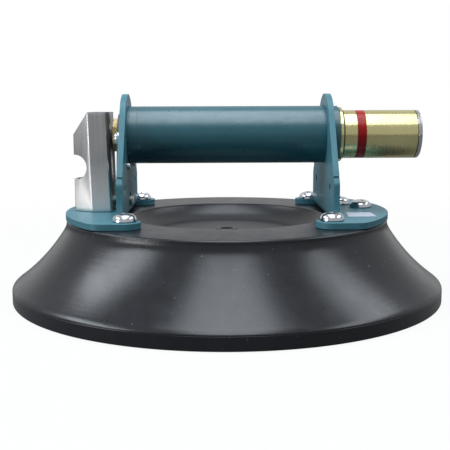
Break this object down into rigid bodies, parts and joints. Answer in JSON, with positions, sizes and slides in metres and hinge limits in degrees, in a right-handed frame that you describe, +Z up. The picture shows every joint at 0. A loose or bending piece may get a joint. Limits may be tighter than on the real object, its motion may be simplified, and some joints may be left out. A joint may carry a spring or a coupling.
{
  "type": "suction cup lifter",
  "caption": "Hand vacuum lifter: round flared rubber pad under a tubular metal handle, with a plunger pump in the handle and a release lever at its other end.",
  "frame": {"origin": "centre of the pad's base plane", "axes": "+Z up out of the pad; +X along the handle, towards the pump's plunger"},
  "size_m": [0.254, 0.254, 0.1184],
  "materials": {
    "pad_rubber": "satin",
    "seal_rubber": "satin",
    "hose_rubber": "satin",
    "teal_paint": "satin",
    "dark_paint": "satin",
    "brass": "polished",
    "stainless": "brushed",
    "spring_steel": "satin",
    "bright_zinc": "polished",
    "red_line": "gloss",
    "felt": "matte"
  },
  "bodies": {
    "lifter": {"vacuum_pad": "pad_rubber", "left_bracket": "teal_paint", "right_bracket": "teal_paint", "handle_tube": "teal_paint", "pump_barrel": "brass", "pump_head": "brass", "head_seal": "seal_rubber", "check_valve": "seal_rubber", "wiper_ring": "seal_rubber", "return_spring": "spring_steel", "valve_plate": "dark_paint", "valve_nut": "brass", "valve_body": "dark_paint", "valve_spring": "spring_steel", "valve_screw_front": "bright_zinc", "valve_screw_back": "bright_zinc", "plate_screw_front": "bright_zinc", "plate_screw_back": "bright_zinc", "air_hose": "hose_rubber", "port_fitting": "brass", "air_filter": "felt", "foot_screw_front_left": "bright_zinc", "pad_insert_front_left": "brass", "foot_screw_front_right": "bright_zinc", "pad_insert_front_right": "brass", "foot_screw_back_left": "bright_zinc", "pad_insert_back_left": "brass", "foot_screw_back_right": "bright_zinc", "pad_insert_back_right": "brass", "foot_screw_right_outer": "bright_zinc", "pad_insert_right_outer": "brass", "foot_screw_right_inner": "bright_zinc", "pad_insert_right_inner": "brass"},
    "plunger": {"plunger_tube": "brass", "red_line_band": "red_line", "plunger_end_cap": "stainless", "piston": "brass", "piston_seal": "seal_rubber"},
    "lever": {"release_lever": "stainless"},
    "stem": {"valve_stem": "stainless", "stem_seal": "seal_rubber"}
  },
  "joints": [
    {"name": "plunger_slide", "type": "slide", "parent": "lifter", "child": "plunger", "axis": [-1, 0, 0], "range_m": [0, 0.04], "stiffness_N_per_m": 350, "springref_m": -0.015, "deforming": ["return_spring"]},
    {"name": "lever_pivot", "type": "hinge", "parent": "lifter", "child": "lever", "pos_m": [-0.05945, 0, 0.05675], "axis": [0, 1, 0], "range_deg": [0, 2.5], "stiffness_Nm_per_rad": 2, "springref_deg": -1.72},
    {"name": "stem_slide", "type": "slide", "parent": "lifter", "child": "stem", "axis": [1, 0, 0], "range_m": [0, 0.0017], "deforming": ["valve_spring"]}
  ],
  "couplings": [
    {"joint": "stem_slide", "follows": "lever_pivot", "m_per_rad": 0.03765}
  ]
}
